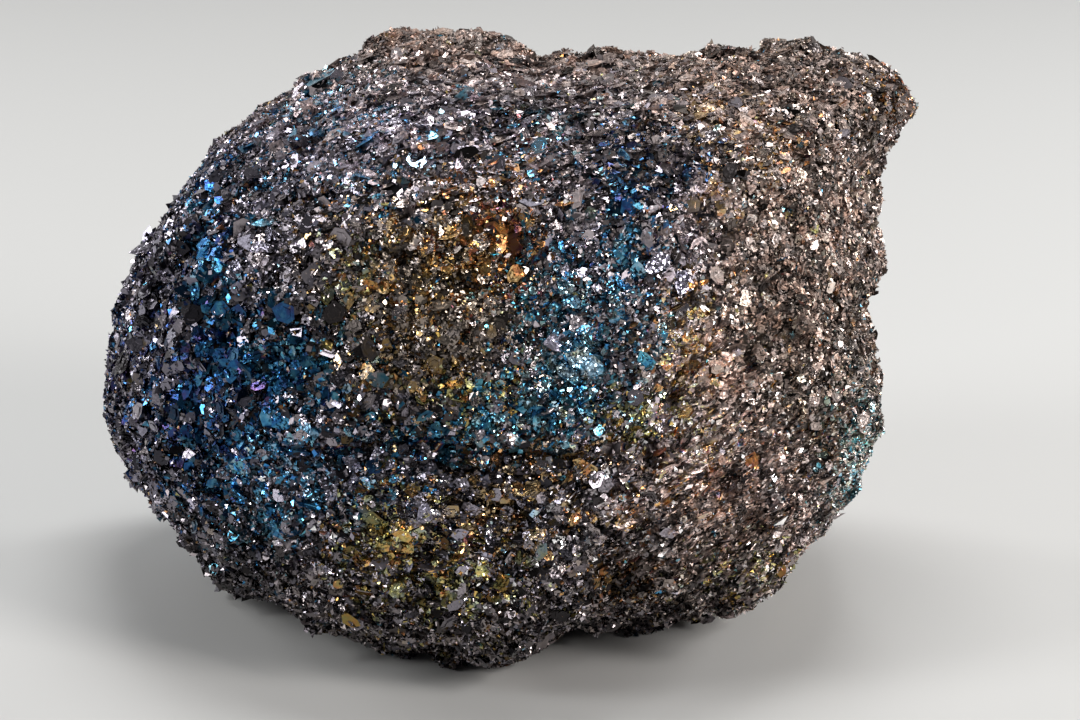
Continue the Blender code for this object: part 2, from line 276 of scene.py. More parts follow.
STRAY_FILMS = (0.10, 0.18, 0.25, 0.58, 0.66, 0.72, 0.86)

# Matte mauve-brown rock: (u, v, reach across, reach up, how strong)
MATTE = [
    (44.0, 14.0, 17.0, 22.0, 0.95),
    (33.0, -6.0, 9.0, 14.0, 0.85),
    (34.0, -24.0, 16.0, 13.0, 0.90),
    (0.0, 45.0, 44.0, 9.0, 0.90),
    (36.0, 37.0, 22.0, 9.0, 0.95),
    (-30.0, 34.0, 14.0, 8.0, 0.45),
    (0.0, 26.0, 40.0, 8.0, 0.30),
]
# Finer and coarser rock: (u, v, reach across, reach up, how much, as a logarithm)
GRAIN_SIZES = [
    (46.0, 8.0, 18.0, 30.0, -0.32),
    (34.0, -26.0, 18.0, 16.0, -0.42),
    (4.0, 6.0, 15.0, 15.0, -0.36),
    (6.0, 44.0, 56.0, 10.0, 0.20),
    (-26.0, 26.0, 16.0, 12.0, -0.12),
    (-47.0, -2.0, 16.0, 26.0, 0.26),
    (-24.0, -10.0, 10.0, 16.0, 0.15),
]
FINEST = -0.50           # the least that they add up to
# Cooler and warmer rock: (u, v, reach across, reach up, how much)
WARMTHS = [
    (-48.0, -2.0, 16.0, 30.0, -0.45),
    (-28.0, -16.0, 16.0, 12.0, -0.30),
    (-20.0, 28.0, 26.0, 11.0, -0.40),
    (12.0, 4.0, 12.0, 22.0, -0.32),
    (-8.0, 8.0, 12.0, 14.0, 0.55),
    (-6.0, -27.0, 20.0, 11.0, -0.32),
    (44.0, 4.0, 20.0, 44.0, 0.32),
    (27.0, 18.0, 5.0, 14.0, -0.35),
    (20.0, -32.0, 14.0, 12.0, 0.12),
    (28.0, -17.0, 14.0, 9.0, -0.13),
    (40.0, -26.0, 10.0, 10.0, -0.13),
    (10.0, 46.0, 50.0, 6.0, 0.30),
]
# Rock with more crumpled crystals: (u, v, reach across, reach up, how many more)
CRUMPLINGS = [
    (6.0, 2.0, 15.0, 16.0, 0.55),
    (44.0, 0.0, 22.0, 42.0, 0.30),
    (-8.0, -28.0, 26.0, 14.0, 0.75),
    (-32.0, -17.0, 14.0, 10.0, 0.35),
    (-14.0, 10.0, 12.0, 12.0, 0.35),
    (51.0, -17.0, 5.0, 10.0, 0.50),
]
# Rock whose crystals are more alike in brightness, or less alike where it is below 0: (u, v, reach across,
# reach up, how much)
EVENNESS = [
    (0.0, 36.0, 60.0, 13.0, 0.60),
    (-26.0, 28.0, 14.0, 10.0, 0.25),
    # less alike as painted glitter of the lower swelling and the lower left
    (-8.0, -29.0, 26.0, 13.0, -0.50),
    (-38.0, -18.0, 16.0, 12.0, -0.20),
    (32.0, -24.0, 18.0, 14.0, -0.35),
]
EVEN_SHADE = 0.70        # the brightness that they draw near
# Darker and brighter rock, its own tone and, where the rows say so, painted light and shade: (u, v, reach
# across, reach up, how much, as a logarithm)
TONES = [
    (-12.0, -48.0, 52.0, 8.0, -0.45),    # painted shade on the underside of the face
    (-44.0, -34.0, 20.0, 10.0, -0.6),
    (28.0, -2.0, 9.0, 16.0, 0.95),       # bright rock right of the pool
    (28.0, -20.0, 16.0, 12.0, 0.70),
    (34.0, 22.0, 12.0, 12.0, 0.15),
    (18.0, -28.0, 14.0, 8.0, 0.20),
    (4.0, -14.5, 16.0, 3.0, 0.15),
    (-34.0, -19.0, 9.0, 8.0, 0.36),      # paler rock of the lower left
    (-10.0, -29.0, 26.0, 12.0, 0.26),    # painted glitter of the lower swelling
    (-4.0, 28.0, 46.0, 17.0, 0.53),      # painted light on the top
    (-10.0, 9.0, 8.0, 8.0, 0.20),
    (-15.0, -2.0, 9.0, 8.0, -0.14),
    (-1.0, 15.0, 5.0, 8.0, -0.10),       # amber patch
    (21.0, 25.5, 5.0, 4.0, -0.9),        # painted shade in dips and pockets and along the top edge
    (5.5, 35.0, 7.0, 2.0, -0.45),
    (-27.0, 3.0, 4.0, 3.0, -0.8),
    (17.0, -35.0, 5.0, 3.5, -1.1),
    (0.0, 48.0, 30.0, 4.0, -0.5),
    (10.0, -2.0, 8.0, 8.0, 0.26),        # bright middle of the pool, its paler colour and painted glitter
    (-37.0, 12.0, 7.0, 5.0, 0.3),
    (-34.0, 6.0, 12.0, 20.0, -0.20),
    (-46.0, 6.0, 10.0, 22.0, -0.20),
    (51.0, -17.0, 4.0, 9.0, 0.70),       # painted glitter of the rim
]

# Single large crystals of the front: (u, v, radius, place on the film scale, shade, how much they face the
# view, how crinkled)
SINGLES = [
    (45.2, 16.5, 0.95, 0.90, 1.5, 0.8, 0.3),     # pale yellow
    (47.1, 8.1, 0.85, 0.00, 2.4, 0.8, 0.3),      # white glint
    (49.9, 21.8, 0.75, 0.00, 2.2, 0.6, 0.3),
    (-30.2, -23.0, 1.3, 0.00, 1.9, 0.7, 0.6),
    (-46.3, -23.6, 1.4, 0.00, 1.6, 0.8, 0.3),
    (-43.4, 22.6, 1.2, 0.57, 1.4, 0.7, 0.3),     # deep blue
    (36.2, -17.4, 1.1, 0.25, 0.9, 0.7, 0.2),     # rusty
    (45.5, -16.5, 0.9, 0.75, 0.6, 0.6, 0.3),     # pale green plate
    (10.2, -1.7, 2.2, 0.76, 1.3, 0.3, 1.2),      # glittering crystals of the pool
    (12.8, -3.9, 1.6, 0.73, 1.1, 0.5, 1.2),
    (7.6, -0.4, 1.5, 0.00, 1.4, 0.6, 1.1),
    (10.8, 2.0, 1.5, 0.00, 1.3, 0.2, 1.2),
    (8.9, -4.6, 1.4, 0.74, 1.1, 0.4, 1.2),
    (0.7, 13.7, 1.5, 0.24, 0.55, 0.9, 0.1),      # amber
    (1.3, 9.3, 1.2, 0.21, 0.50, 0.8, 0.15),
    (-4.6, 15.2, 1.4, 0.23, 0.42, 0.8, 0.3),
    (-24.5, 4.0, 1.6, 0.00, 0.40, 1.5, 0.05),    # grey plates left of the middle
    (-20.0, -1.5, 1.4, 0.05, 0.40, 1.5, 0.05),
    (-46.0, 3.5, 1.5, 0.00, 0.25, 1.6, 0.05),
    (-50.5, -8.5, 1.4, 0.00, 0.28, 1.6, 0.05),
    (-37.5, -9.0, 1.4, 0.00, 0.25, 1.6, 0.05),
    (-7.0, -38.5, 1.6, 0.00, 0.60, 1.6, 0.05),
    (5.0, -30.5, 1.4, 0.82, 0.50, 0.8, 0.2),
    (14.5, -21.0, 1.3, 0.00, 0.9, 0.5, 1.0),
    (33.0, 24.5, 1.5, 0.00, 0.22, 0.6, 0.3),     # dark plates of the right
    (42.0, 31.0, 1.3, 0.00, 0.25, 0.4, 0.3),
    (25.4, 8.6, 1.8, 0.00, 1.3, 0.5, 0.6),       # grey crystals on the pool's rim
    (22.4, 11.2, 1.6, 0.00, 1.2, 0.5, 0.6),
]
# Dark plates strewn over the top as painted shade of its pockets and ledges: how many, the stretch of u and v
# that they lie in, radius, shade
SHADOW_PLATES = 60
SHADOW_PLATES_U = (-33.0, 50.0)
SHADOW_PLATES_V = (17.0, 45.0)
SHADOW_PLATE_RADIUS = (0.7, 2.0)
SHADOW_PLATE_SHADE = (0.03, 0.14)
FACING_FRONT = -0.25     # the most that an outward normal of a seen spot may point away

# How bright the crystals are: shares of dark and bright ones among the bare and of dull ones among the
# tarnished, and the range of each
CHARCOAL_SHARE = 0.36
CHARCOAL = (0.06, 0.30)
GREY = (0.50, 1.05)
BRIGHT_SHARE = 0.17
BRIGHT = (1.3, 2.4)
DULL_SHARE = 0.35
DULL = (0.15, 0.45)
CLEAR = (0.55, 1.25)
LARGE = 0.75             # crystals of a larger radius are no brighter than these shades, bare and tarnished
LARGE_SHADE = 0.72
LARGE_CLEAR = 0.72
TONE_DRIFT = Pattern(7.0, 23.0)
TONE_WANDER = 0.35       # how much the brightness rises and falls from place to place
# How matte and how warm they are
MATTE_DRIFT = Pattern(5.0, 3.0)
MATTE_WANDER = 0.3
TARNISHED_MATTE = 0.35   # how matte the tarnished crystals of the matte rock still are
SHINY_SHARE = 0.38       # crystals of the matte rock that shine all the same
SHINY_MATTE = 0.15       # how matte those still are
PLAIN_WARMTH = 0.5       # outside the zones, from 0, coolest, to 1, warmest
WARMTH_SPREAD = 0.16
# How crinkled they are
CRUMPLED_SHARE = 0.14
CRUMPLED = (0.35, 0.95)
SMOOTH = (0.02, 0.12)
MATTE_CRINKLE = 0.6      # the least for a fully matte one
CRINKLE = 0.26           # size of the little faces of a crinkled crystal

BACK_WARP = 24.0         # how far the zones of the back stray from the front's
BACK_WARP_U = Pattern(30.0, 11.0)
BACK_WARP_V = Pattern(30.0, 29.0)
BACK_FADE = 22.0         # how far behind the middle of the view they stray that far


def as_seen(points):
    """Where points of the specimen are seen from the front, and how deep they lie."""
    offset = points - VIEW_MIDDLE
    depth = offset @ AWAY
    swell = 1.0 + depth / VIEW_DISTANCE
    return offset[:, 0] / swell, (offset @ UPWARD) / swell, depth


def noise_at(points, pattern):
    """A pattern's noise at each point, from about -1 to 1."""
    move = SHIFT_WAY * pattern.shift
    return np.array([noise.noise(Vector(point) / pattern.size + move) for point in points])


def pattern_places(points):
    """The u and v that a point's zones are read at, which stray from the front's on the back."""
    u, v, depth = as_seen(points)
    behind = np.clip(depth / BACK_FADE, 0.0, 1.0)
    u = u + behind * BACK_WARP * noise_at(points, BACK_WARP_U)
    v = v + behind * BACK_WARP * noise_at(points, BACK_WARP_V)
    return u, v


def zone_weights(u, v, zones):
    """How strongly each zone acts at each place, as (places, zones)."""
    middle_u, middle_v, reach_u, reach_v, *_, strength = np.array(zones).T
    across = (u[:, None] - middle_u) / reach_u
    upward = (v[:, None] - middle_v) / reach_v
    return np.exp(-across ** 2 - upward ** 2) * strength


def strongest(u, v, zones):
    """The most that any one zone acts at each place."""
    return zone_weights(u, v, zones).max(axis=1)


def unit(vectors):
    """The vectors at length one."""
    return vectors / np.maximum(np.linalg.norm(vectors, axis=1, keepdims=True), TINY)


def layering(u, v):
    """How layered the rock is at each place, the direction across its sheets, and the share facing down."""
    *_, slopes, away, down, _ = np.array(LAYERS).T
    slopes = np.radians(slopes)
    across = unit(np.stack([-np.sin(slopes), away, np.cos(slopes)], axis=1))
    weights = zone_weights(u, v, LAYERS)
    chosen = weights.argmax(axis=1)
    return weights.max(axis=1), across[chosen], down[chosen]


def solid_mesh():
    """A copy of the solid's mesh in triangles, with its corners joined."""
    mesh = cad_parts[NODE].data.copy()
    net = bmesh.new()
    net.from_mesh(mesh)
    bmesh.ops.remove_doubles(net, verts=net.verts[:], dist=WELD)
    bmesh.ops.triangulate(net, faces=net.faces[:])
    net.to_mesh(mesh)
    net.free()
    mesh.materials.clear()
    return mesh


def corner_array(mesh):
    """A mesh's corners in millimetres."""
    places = np.empty(len(mesh.vertices) * 3, np.float32)
    mesh.vertices.foreach_get("co", places)
    return places.reshape(-1, 3).astype(float) / METRES


def normal_array(mesh):
    """A mesh's corner normals."""
    normals = np.empty(len(mesh.vertices) * 3, np.float32)
    mesh.vertices.foreach_get("normal", normals)
    return normals.reshape(-1, 3).astype(float)


def triangle_array(mesh):
    """The corner numbers of a mesh's triangles."""
    numbers = np.empty(len(mesh.polygons) * 3, np.int32)
    mesh.loops.foreach_get("vertex_index", numbers)
    return numbers.reshape(-1, 3)


class Surface:
    """The solid's surface, to strew points over."""

    def __init__(self, mesh):
        triangles = triangle_array(mesh)
        self.corners = corner_array(mesh)[triangles]
        self.smooth = normal_array(mesh)[triangles]
        first, second, third = (self.corners[:, number] for number in range(3))
        crossed = np.cross(second - first, third - first)
        self.area = np.linalg.norm(crossed, axis=1) / 2.0
        self.flat = unit(crossed)

    def strew(self, count, rng):
        """Random points all over, with the facet's and the smoothed normal at each."""
        chosen = rng.choice(len(self.area), count, p=self.area / self.area.sum())
        first, second = rng.random(count), rng.random(count)
        folded = first + second > 1.0
        first = np.where(folded, 1.0 - first, first)
        second = np.where(folded, 1.0 - second, second)
        shares = np.stack([1.0 - first - second, first, second], axis=1)[:, :, None]
        points = (self.corners[chosen] * shares).sum(axis=1)
        smooth = unit((self.smooth[chosen] * shares).sum(axis=1))
        return points, self.flat[chosen], smooth


def spread_out(points, room):
    """Which points stay when each clears its own surroundings of later ones."""
    tree = KDTree(len(points))
    for number, point in enumerate(points):
        tree.insert(point, number)
    tree.balance()
    kept = np.ones(len(points), bool)
    for number, point in enumerate(points):
        if kept[number]:
            for _, other, _ in tree.find_range(point, room[number]):
                if other > number:
                    kept[other] = False
    return kept


def film_values(points, u, v, radii, rng):
    """Each crystal's place on the film scale, 0 for a bare one."""
    count = len(points)
    weights = zone_weights(u, v, TARNISH)
    total = weights.sum(axis=1)
    shares = np.cumsum(weights / np.maximum(total, TINY)[:, None], axis=1)
    chosen = np.minimum((shares < rng.random(count)[:, None]).sum(axis=1), len(TARNISH) - 1)
    *_, films, _ = np.array(TARNISH).T
    film = films[chosen] + rng.normal(0.0, FILM_SPREAD, count) + FILM_WANDER * noise_at(points, FILM_DRIFT)
    patchy = 1.0 + TARNISH_PATCHINESS * noise_at(points, TARNISH_PATCHES)
    odds = np.clip(total, 0.0, 1.0) * TARNISH_SHARE * patchy
    strayed = (rng.random(count) < STRAY_TARNISH) & (radii < LARGE)
    stray = np.where(strayed, rng.choice(STRAY_FILMS, count), 0.0)
    return np.clip(np.where(rng.random(count) < odds, film, stray), 0.0, 1.0)


def shade_values(points, u, v, radii, film, rng):
    """How bright each crystal is: charcoal, grey or bright where it is bare, dull or clear where tarnished."""
    count = len(film)
    lot = rng.random(count)
    bare = np.where(lot < CHARCOAL_SHARE, rng.uniform(*CHARCOAL, count), rng.uniform(*GREY, count))
    bare = np.where(lot > 1.0 - BRIGHT_SHARE, rng.uniform(*BRIGHT, count), bare)
    bare = np.where(radii > LARGE, np.minimum(bare, LARGE_SHADE), bare)
    coloured = np.where(lot < DULL_SHARE, rng.uniform(*DULL, count), rng.uniform(*CLEAR, count))
    coloured = np.where(radii > LARGE, np.minimum(coloured, LARGE_CLEAR), coloured)
    shade = np.where(film > 0.0, coloured, bare)
    evenness = np.minimum(zone_weights(u, v, EVENNESS).sum(axis=1), 1.0)
    shade = shade * (EVEN_SHADE / shade) ** evenness
    # The zones' tones add painted light and shade where their rows say so, and crystals in cracks get painted
    # shade
    tone = zone_weights(u, v, TONES).sum(axis=1) + TONE_WANDER * noise_at(points, TONE_DRIFT)
    tone = tone + LAMINA_TONE * sheet_noise(points, u, v) - CRACK_PAINTED_SHADE * crack_share(points)
    return shade * np.exp(tone)


def stretched(points, across, factor):
    """The points with their distances along one direction multiplied."""
    along = (points * across).sum(axis=1, keepdims=True)
    return points + across * along * (factor - 1.0)


def sheet_noise(points, u, v):
    """Noise that changes from sheet to sheet of layered rock and hardly along them, 0 outside such rock."""
    share, across, _ = layering(u, v)
    return share * noise_at(stretched(points, across, LAMINAE.size / LAMINA), LAMINAE)


def crack_share(points):
    """1 at the bottom of a crack of the rock, 0 away from the cracks."""
    flattened = stretched(points, UPWARD, CRACKS.size / CRACK_SPACING)
    crack = 1.0 - np.abs(noise_at(flattened, CRACKS)) / CRACK_WIDTH
    patchy = np.clip(CRACKED_CONTRAST * noise_at(points, CRACKED) + CRACKED_MORE, 0.0, 1.0)
    return np.clip(crack, 0.0, 1.0) * patchy


def relief(points, u, v):
    """How far the rock stands out, finer than on the solid: lumps, sheets and cracks."""
    height = LUMP_RELIEF * noise_at(points, LUMPS) + LAMINA_RELIEF * sheet_noise(points, u, v)
    return height - CRACK_DEPTH * crack_share(points)


def describe(points, u, v, radii, rng):
    """What each crystal looks like: its film, shade, warmth, how matte, how crinkled and how satin it is."""
    count = len(points)
    matte = np.clip(strongest(u, v, MATTE) + MATTE_WANDER * noise_at(points, MATTE_DRIFT), 0.0, 1.0)
    film = film_values(points, u, v, radii, rng)
    matte = matte * np.where(film > 0.0, TARNISHED_MATTE, 1.0)
    matte = matte * np.where(rng.random(count) < SHINY_SHARE, SHINY_MATTE, 1.0)
    warmth = PLAIN_WARMTH + zone_weights(u, v, WARMTHS).sum(axis=1) + rng.normal(0.0, WARMTH_SPREAD, count)
    crumpled = rng.random(count) < CRUMPLED_SHARE + zone_weights(u, v, CRUMPLINGS).sum(axis=1)
    crinkle = np.where(crumpled, rng.uniform(*CRUMPLED, count), rng.uniform(*SMOOTH, count))
    return {
        "film": film,
        "shade": shade_values(points, u, v, radii, film, rng),
        "warmth": np.clip(warmth, 0.0, 1.0),
        "matte": matte,
        "crinkle": np.maximum(crinkle, MATTE_CRINKLE * matte),
        "satin": rng.random(count),
    }


def facing(points, flat, smooth, u, v, tilt, rng):
    """The way each crystal faces, roughly out or, in a sheet, across the sheet. Gives besides the direction
    across each crystal's sheet, which is zero for a crystal that isn't in one."""
    out = unit(flat + smooth)
    frontal = np.clip(-(smooth @ AWAY) * LAYERED_FRONT, 0.0, 1.0)
    share, across, down = layering(u, v)
    layered = (share * frontal > rng.random(len(points)))[:, None]
    turned = across * np.sign(rng.random(len(points)) - down)[:, None]
    out = np.where(layered, unit(turned + LAYERED_OUT * out), out)
    lean = tilt * np.where(layered, LAYERED_TILT, 1.0)
    return unit(out + lean * rng.normal(0.0, 1.0, points.shape)), np.where(layered, across, 0.0)


def in_plane(normals, sheets, rng):
    """Two directions in each crystal's plane: at a random turn, or along its sheet."""
    random = rng.normal(0.0, 1.0, normals.shape)
    along = np.cross(sheets, AWAY) + LAYERED_STRAY * random
    side = unit(np.where(sheets.any(axis=1)[:, None], along, random))
    side = unit(side - normals * (side * normals).sum(axis=1, keepdims=True))
    return side, np.cross(normals, side)


def rim_shapes(count, corners, layered, rng):
    """Irregular many-cornered rims of radius about 1, as (crystals, corners, 2)."""
    steps = np.arange(corners) + rng.uniform(-RIM_STRAY, RIM_STRAY, (count, corners))
    turns = steps * 2.0 * math.pi / corners
    reach = rng.uniform(*RIM_REACH, (count, corners))
    in_sheets = rng.uniform(*LAYERED_STRETCH, count)
    elsewhere = rng.uniform(*OTHER_STRETCH, count)
    stretch = np.where(layered, in_sheets, elsewhere)[:, None]
    return np.stack([np.cos(turns) * reach * stretch, np.sin(turns) * reach / stretch], axis=2)


def crystal_faces(corners, rings):
    """Corner numbers of one crystal's faces: its flat top, the sides between its rings and the point below."""
    faces = [list(range(corners))]
    for ring in range(rings - 1):
        inner, outer = ring * corners, (ring + 1) * corners
        for corner in range(corners):
            after = (corner + 1) % corners
            faces.append([inner + after, inner + corner, outer + corner, outer + after])
    rim, point = (rings - 1) * corners, rings * corners
    for corner in range(corners):
        faces.append([rim + (corner + 1) % corners, rim + corner, point])
    return faces


# Crystals of one kind as arrays: their corners, where those lie in the crystal's own plane, the corner
# numbers of one crystal's faces, their places and what each one looks like
Group = namedtuple("Group", "corners plan faces centres looks")


def grow(kind, surface, rng):
    """Strews crystals of one kind over the surface."""
    candidates = int(CROWDING * surface.area.sum() / (kind.spacing * kind.radius) ** 2)
    points, flat, smooth = surface.strew(candidates, rng)
    u, v = pattern_places(points)
    coarseness = np.maximum(zone_weights(u, v, GRAIN_SIZES).sum(axis=1), FINEST)
    radii = kind.radius * np.exp(kind.response * coarseness + rng.normal(0.0, kind.spread, candidates))
    radii = np.minimum(radii, LARGEST_RADIUS)
    behind = np.clip(as_seen(points)[2] / BACK_FADE, 0.0, 1.0)
    room = radii * kind.spacing * (1.0 + BACK_THINNING * behind)
    room = room * np.exp(CLEARING * (1.0 - kind.response) * np.maximum(coarseness, 0.0))
    kept = spread_out(points, room) & (points[:, 2] > UNDERSIDE)
    points, flat, smooth, u, v, radii = (values[kept] for values in (points, flat, smooth, u, v, radii))
    looks = describe(points, u, v, radii, rng)
    normals, sheets = facing(points, flat, smooth, u, v, kind.tilt, rng)
    points = points + smooth * relief(points, u, v)[:, None]
    return crystals(kind, points, smooth, radii, normals, sheets, looks, rng)


def crystals(kind, points, smooth, radii, normals, sheets, looks, rng):
    """Crystals of one kind at the points, each with its radius, the way that it faces and the direction
    across its sheet."""
    count = len(points)
    layered = sheets.any(axis=1)
    side, other = in_plane(normals, sheets, rng)
    shapes = rim_shapes(count, kind.corners, layered, rng)
    centres = points + smooth * rng.uniform(*kind.lift, count)[:, None]
    rings, plans = [], []
    for height, scale in kind.rings:
        plan = shapes * scale
        reach = plan * radii[:, None, None]
        ring = (centres + normals * (height * radii)[:, None])[:, None, :]
        ring = ring + reach[:, :, :1] * side[:, None, :]
        rings.append(ring + reach[:, :, 1:] * other[:, None, :])
        plans.append(plan)
    depth = np.where(layered, LAYERED_DEPTH * kind.depth, kind.depth) * radii
    stray = rng.normal(0.0, POINT_STRAY, centres.shape) * radii[:, None]
    under = centres - normals * depth[:, None] + stray
    corners = np.concatenate(rings + [under[:, None, :]], axis=1)
    corners[:, :, 2] = np.maximum(corners[:, :, 2], LOWEST)
    plan = np.concatenate(plans + [np.zeros((count, 1, 2))], axis=1)
    return Group(corners, plan, crystal_faces(kind.corners, len(kind.rings)), centres, looks)


def nearest_seen(places, surface, rng):
    """For each place of the front, the point of the surface that is seen there, with its smoothed normal."""
    points, _, smooth = surface.strew(SPOTS_TRIED, rng)
    u, v, _ = as_seen(points)
    hidden = FAR_OFF * (smooth @ AWAY > FACING_FRONT)
    chosen = [np.argmin((u - right) ** 2 + (v - up) ** 2 + hidden) for right, up in places]
    points, smooth, u, v = points[chosen], smooth[chosen], u[chosen], v[chosen]
    return points + smooth * relief(points, u, v)[:, None], smooth


def place_singles(surface, rng):
    """The single large crystals, each on the spot of the front where it is seen."""
    right, up, radii, films, shades, turns_to_view, crinkles = np.array(SINGLES).T
    points, smooth = nearest_seen(np.stack([right, up], axis=1), surface, rng)
    lean = rng.normal(0.0, SINGLE.tilt, points.shape)
    normals = unit(smooth - turns_to_view[:, None] * AWAY + lean)
    u, v = pattern_places(points)
    looks = describe(points, u, v, radii, rng)
    looks["film"] = films
    looks["shade"] = shades
    looks["crinkle"] = crinkles
    looks["matte"] = np.zeros(len(points))
    return crystals(SINGLE, points, smooth, radii, normals, np.zeros(points.shape), looks, rng)


def place_shadow_plates(surface, rng):
    """Dark plates at random places of the top, long along its bedding, as painted shade of its pockets and
    ledges.
    """
    right = rng.uniform(*SHADOW_PLATES_U, SHADOW_PLATES)
    up = rng.uniform(*SHADOW_PLATES_V, SHADOW_PLATES)
    points, smooth = nearest_seen(np.stack([right, up], axis=1), surface, rng)
    normals = unit(smooth + rng.normal(0.0, SHADOW_PLATE.tilt, points.shape))
    radii = rng.uniform(*SHADOW_PLATE_RADIUS, SHADOW_PLATES)
    u, v = pattern_places(points)
    _, bedding, _ = layering(u, v)
    looks = describe(points, u, v, radii, rng)
    looks["film"] = np.zeros(SHADOW_PLATES)
    looks["shade"] = rng.uniform(*SHADOW_PLATE_SHADE, SHADOW_PLATES)
    looks["matte"] = np.zeros(SHADOW_PLATES)
    return crystals(SHADOW_PLATE, points, smooth, radii, normals, bedding, looks, rng)


def part_of(group, keep):
    """The same group with only some of its crystals."""
    looks = {name: values[keep] for name, values in group.looks.items()}
    return Group(group.corners[keep], group.plan[keep], group.faces, group.centres[keep], looks)


def triangles_each(group):
    """Triangles of one crystal of a group."""
    return sum(len(face) - 2 for face in group.faces)


def sectors(groups):
    """The crystals parted by their direction around the specimen into pieces of few enough triangles."""
    turns = [np.arctan2(group.centres[:, 1], group.centres[:, 0]) for group in groups]
    loads = [np.full(len(turn), triangles_each(group)) for turn, group in zip(turns, groups)]
    every = np.concatenate(turns)
    order = np.argsort(every)
    filled = np.cumsum(np.concatenate(loads)[order])
    count = math.ceil(filled[-1] / PIECE_TRIANGLES)
    edges = [every[order[np.searchsorted(filled, filled[-1] * part / count)]] for part in range(1, count)]
    edges = [-math.inf, *edges, math.inf]
    for low, high in zip(edges, edges[1:]):
        yield [part_of(group, (turn >= low) & (turn < high)) for group, turn in zip(groups, turns)]


def baking_places(group, order, columns, pattern):
    """Where each face corner lies in the baking map: every crystal has its own square, its upper side in the
    left half and its underside in the right half."""
    point = group.plan.shape[1] - 1
    underside = np.repeat([point in face for face in group.faces], [len(face) for face in group.faces])
    spots = group.plan[:, pattern, :] / (2.0 * PLAN_REACH) + MIDDLE
    spots = spots * BAKED_SIZE + BAKED_CORNER
    spots[:, :, 0] += BAKED_UNDERSIDE * underside
    square = np.stack([order % columns, order // columns], axis=1)
    return ((spots + square[:, None, :]) / columns).reshape(-1, 2)


def filled_mesh(name, corners, numbers, totals):
    """A flat-shaded mesh of corners in millimetres, corner numbers and the number of corners of each face."""
    mesh = bpy.data.meshes.new(name)
    mesh.vertices.add(len(corners))
    mesh.vertices.foreach_set("co", (corners * METRES).astype(np.float32).ravel())
    mesh.loops.add(len(numbers))
    mesh.loops.foreach_set("vertex_index", numbers.astype(np.int32))
    mesh.polygons.add(len(totals))
    starts = np.concatenate([[0], np.cumsum(totals)[:-1]])
    mesh.polygons.foreach_set("loop_start", starts.astype(np.int32))
    mesh.polygons.foreach_set("loop_total", totals.astype(np.int32))
    mesh.update(calc_edges=True)
    mesh.shade_flat()
    return mesh


def carry(mesh, looks):
    """Gives a mesh's corners their looks as named numbers."""
    for name, values in looks.items():
        layer = mesh.attributes.new(name, "FLOAT", "POINT")
        layer.data.foreach_set("value", values.astype(np.float32))


def joined_mesh(name, groups):
    """One mesh of several groups of crystals, with their looks and a baking map."""
    columns = math.ceil(math.sqrt(sum(len(group.centres) for group in groups)))
    numbers, totals, places = [], [], []
    first_corner, first_square = 0, 0
    for group in groups:
        count, each = group.corners.shape[:2]
        pattern = np.concatenate(group.faces)
        starts = first_corner + each * np.arange(count)
        numbers.append((starts[:, None] + pattern[None, :]).ravel())
        totals.append(np.tile([len(face) for face in group.faces], count))
        places.append(baking_places(group, first_square + np.arange(count), columns, pattern))
        first_corner += count * each
        first_square += count
    corners = np.concatenate([group.corners.reshape(-1, 3) for group in groups])
    mesh = filled_mesh(name, corners, np.concatenate(numbers), np.concatenate(totals))
    carry(mesh, {
        key: np.concatenate([np.repeat(group.looks[key], group.corners.shape[1]) for group in groups])
        for key in groups[0].looks
    })
    baking_map = mesh.uv_layers.new(name="OFBake")
    baking_map.data.foreach_set("uv", np.concatenate(places).astype(np.float32).ravel())
    return mesh


def link_piece(name, mesh, material):
    """An object of the mesh that rides on the specimen's body."""
    mesh.materials.append(material)
    piece = bpy.data.objects.new(name, mesh)
    bpy.context.scene.collection.objects.link(piece)
    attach(piece, BODY)
    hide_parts(NODE)


def make_ground(solid, rng):
    """The granular mass that the crystals grow from, a little below the solid's surface."""
    guide = bpy.data.objects.new("ground_guide", solid)
    bpy.context.scene.collection.objects.link(guide)
    net = guide.modifiers.new("net", "REMESH")
    net.mode = "VOXEL"
    net.voxel_size = GROUND_VOXEL * METRES
    seen = guide.evaluated_get(bpy.context.evaluated_depsgraph_get())
    mesh = bpy.data.meshes.new_from_object(seen)
    bpy.data.objects.remove(guide)
    mesh.name = "ground"
    points = corner_array(mesh)
    u, v = pattern_places(points)
    height = relief(points, u, v) + GROUND_RELIEF * noise_at(points, GROUND_LUMPS) - GROUND_SINK
    height = height + rng.uniform(-GROUND_ROUGHNESS, GROUND_ROUGHNESS, len(points))
    height[points[:, 2] < RESTING_BELOW] = 0.0
    points = points + normal_array(mesh) * height[:, None]
    points[:, 2] = np.maximum(points[:, 2], 0.0)
    mesh.vertices.foreach_set("co", (points * METRES).astype(np.float32).ravel())
    mesh.update()
    mesh.shade_flat()
    carry(mesh, describe(points, u, v, np.zeros(len(points)), rng))
    return mesh


def new_material(name):
    """A node material with its shader."""
    material = bpy.data.materials.new(name)
    material.use_nodes = True
    return material, material.node_tree, material.node_tree.nodes["Principled BSDF"]


def feed(tree, socket, value):
    """Sets a socket to a plain value or links an output to it."""
    if isinstance(value, bpy.types.NodeSocket):
        tree.links.new(value, socket)
    else:
        socket.default_value = value


def carried(tree, name):
    """The number that a mesh carries under that name."""
    node = tree.nodes.new("ShaderNodeAttribute")
    node.attribute_name = name
    return node.outputs["Fac"]


def maths(tree, operation, first, second):
    """Two numbers or outputs put together."""
    node = tree.nodes.new("ShaderNodeMath")
    node.operation = operation
    feed(tree, node.inputs[0], first)
    feed(tree, node.inputs[1], second)
    return node.outputs[0]


